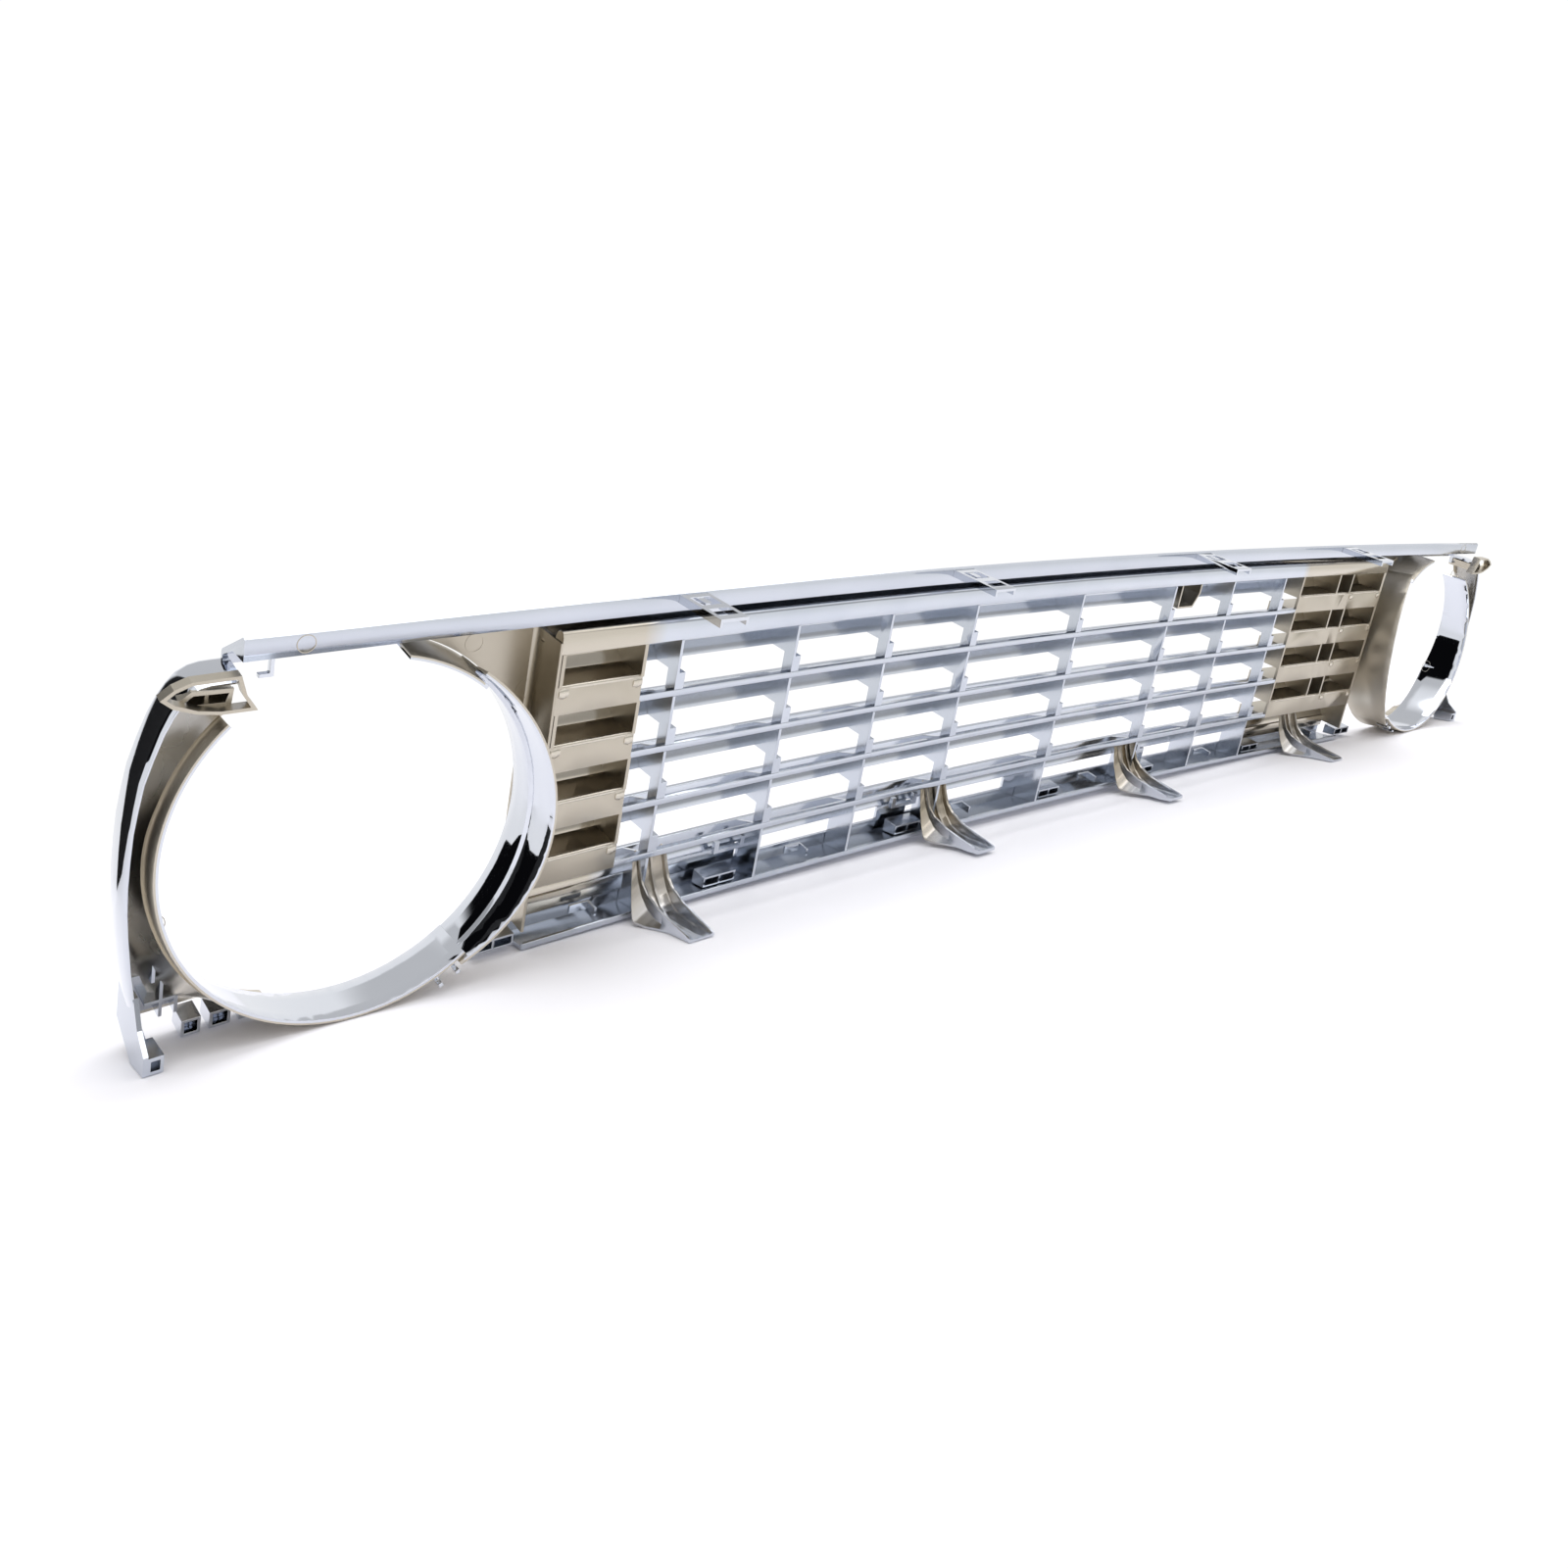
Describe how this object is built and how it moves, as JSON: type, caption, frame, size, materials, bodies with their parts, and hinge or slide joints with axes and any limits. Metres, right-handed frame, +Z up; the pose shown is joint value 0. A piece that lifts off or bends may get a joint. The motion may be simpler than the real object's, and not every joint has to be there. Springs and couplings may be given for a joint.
{
  "type": "front grille",
  "caption": "Wide bowed front grille with stepped louvre bars, upright ribs, a blank badge panel and a round headlamp opening at each end, standing on its rear feet.",
  "frame": {"origin": "middle of the footprint at ground level, the grille standing on its feet and leaning back", "axes": "+X along the grille towards the end with the narrower blank panel, +Y to the rear of the grille, +Z up"},
  "size_m": [1.3446, 0.1282, 0.2098],
  "materials": {
    "chrome": "bright plated moulding",
    "chrome_back": "plated inside faces, warmer and less bright"
  },
  "bodies": {
    "root": {"top_rail": "chrome", "upper_bar": "chrome", "front_bar_1": "chrome", "front_bar_2": "chrome", "front_bar_3": "chrome", "front_bar_4": "chrome", "front_bar_5": "chrome", "tie_rod_1": "chrome", "tie_rod_2": "chrome", "tie_rod_3": "chrome", "tie_rod_4": "chrome", "rib_1": "chrome", "rib_2": "chrome", "rib_3": "chrome", "rib_4": "chrome", "rib_5": "chrome", "rib_6": "chrome", "rib_7": "chrome", "rib_8": "chrome", "blank_panel": "chrome_back", "badge_panel": "chrome_back", "face_skin_left": "chrome_back", "face_skin_right": "chrome_back", "lamp_bezel_left": "chrome", "lamp_bezel_right": "chrome", "end_frame_left": "chrome", "end_frame_right": "chrome", "corner_pocket_left": "chrome_back", "corner_pocket_right": "chrome_back", "corner_leg_left": "chrome", "corner_leg_right": "chrome", "valance": "chrome", "lower_ribs": "chrome_back", "bar_bracket": "chrome_back", "round_boss": "chrome", "foot_1": "chrome", "foot_2": "chrome", "foot_3": "chrome", "foot_4": "chrome", "top_clip_1": "chrome", "top_clip_2": "chrome", "top_clip_3": "chrome", "top_clip_4": "chrome", "snap_housings": "chrome", "locating_lugs": "chrome", "lower_brackets": "chrome", "corner_tabs_left": "chrome", "corner_tabs_right": "chrome", "bezel_hooks_left": "chrome", "bezel_hooks_right": "chrome", "rail_hooks": "chrome"}
  },
  "joints": []
}
